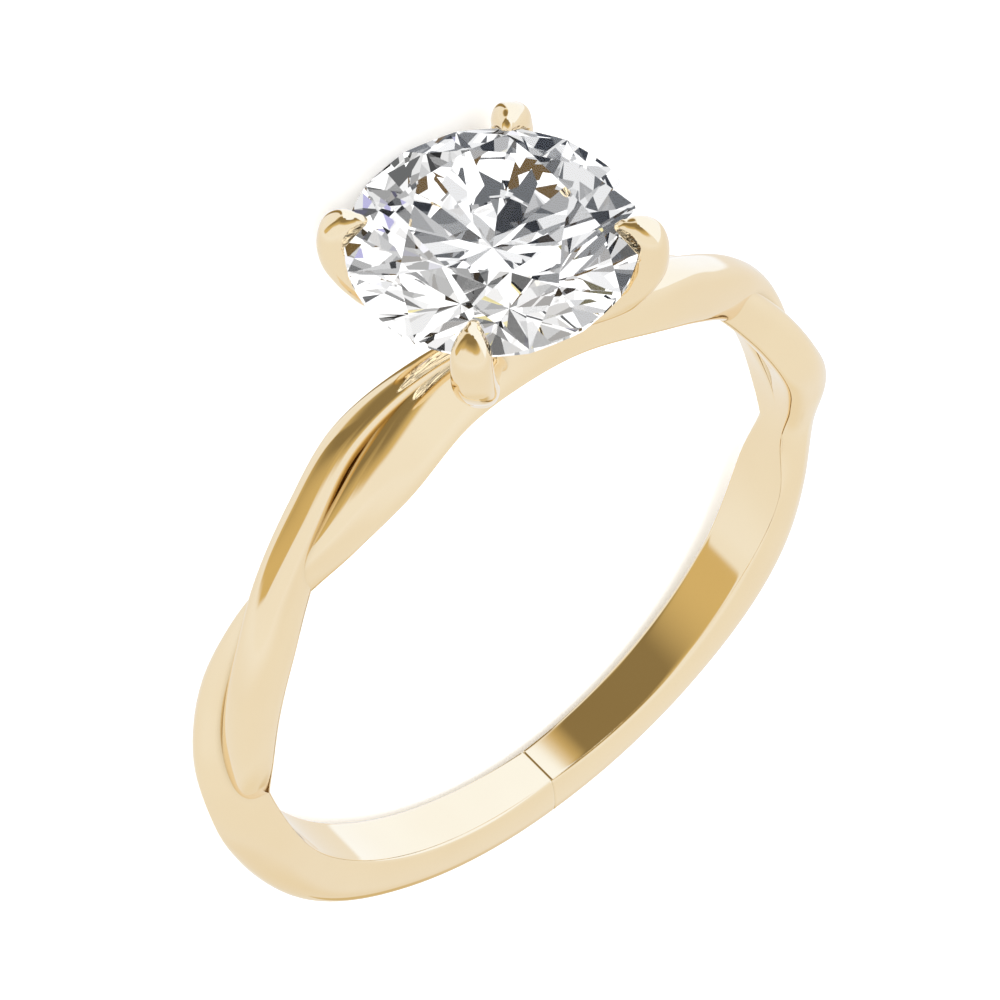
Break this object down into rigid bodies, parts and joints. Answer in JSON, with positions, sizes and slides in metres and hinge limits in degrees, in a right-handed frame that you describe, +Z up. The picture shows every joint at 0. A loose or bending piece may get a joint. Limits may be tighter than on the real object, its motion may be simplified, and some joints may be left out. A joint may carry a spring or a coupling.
{
  "type": "twisted shank ring",
  "caption": "Gold solitaire ring whose slim strands cross over at both shoulders, with a round brilliant held by claws.",
  "frame": {"origin": "centre of the footprint of the ring lying on its side, on the surface that it lies on", "axes": "+Y from the plain band to the head with the stone, +Z up, +X across the finger hole"},
  "size_m": [0.0196, 0.0246, 0.0066],
  "materials": {
    "gold": "polished",
    "diamond": "polished facets"
  },
  "bodies": {
    "root": {"ring_body": "gold", "center_stone": "diamond"}
  },
  "joints": []
}
